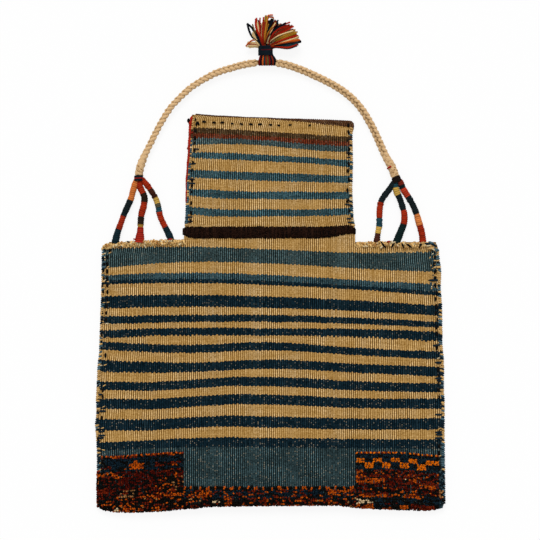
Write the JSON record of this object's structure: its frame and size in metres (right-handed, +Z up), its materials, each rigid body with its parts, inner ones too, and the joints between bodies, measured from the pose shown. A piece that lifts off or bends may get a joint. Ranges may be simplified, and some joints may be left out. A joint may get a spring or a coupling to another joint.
{
  "type": "salt bag",
  "caption": "Flat striped woven wool salt bag with a narrow open neck, knotted pile foot, overcast edges and a plaited carrying cord with a yarn tassel.",
  "frame": {"origin": "middle of the bag's own box, without its carrying cord, on the surface that its back lies on", "axes": "+X across the weave to the right of the front, +Y from the folded foot to the mouth, +Z up out of the front"},
  "size_m": [0.3862, 0.5442, 0.0188],
  "materials": {
    "striped_weave": "matte ribbed wool flat weave in sand, slate and navy stripes",
    "dark_brown_wool": "matte dark brown wool yarn",
    "knotted_pile": "short knotted wool pile in rust, orange and navy",
    "overcast_yarn": "matte navy and sand wool yarn, whip-stitched",
    "sand_wool": "matte sand wool loops",
    "red_wool": "matte red wool cord",
    "cream_wool": "matte cream plaited wool",
    "leg_wrapping": "matte wool yarn wrapped in bands of red, navy, mustard and teal",
    "navy_wool": "matte navy wool yarn",
    "tassel_wool": "loose twisted wool yarn in red, orange, mustard and black"
  },
  "bodies": {
    "root": {"bag_cloth": "striped_weave", "bag_cloth_back": "striped_weave", "neck_band": "dark_brown_wool", "pile_border": "knotted_pile", "side_overcast_left": "overcast_yarn", "side_overcast_right": "overcast_yarn", "neck_overcast_left": "overcast_yarn", "neck_overcast_right": "overcast_yarn", "shoulder_edging_left": "sand_wool", "shoulder_edging_right": "sand_wool", "mouth_hem_thread": "dark_brown_wool", "neck_piping_left": "red_wool", "handle_braid": "cream_wool", "leg_left_outer": "leg_wrapping", "leg_left_middle": "leg_wrapping", "leg_left_inner": "leg_wrapping", "leg_right_inner": "leg_wrapping", "leg_right_middle": "leg_wrapping", "leg_right_outer": "leg_wrapping", "leg_binding_left": "navy_wool", "leg_binding_right": "navy_wool", "tassel_yarn": "tassel_wool", "tassel_wrap": "navy_wool"}
  },
  "joints": []
}
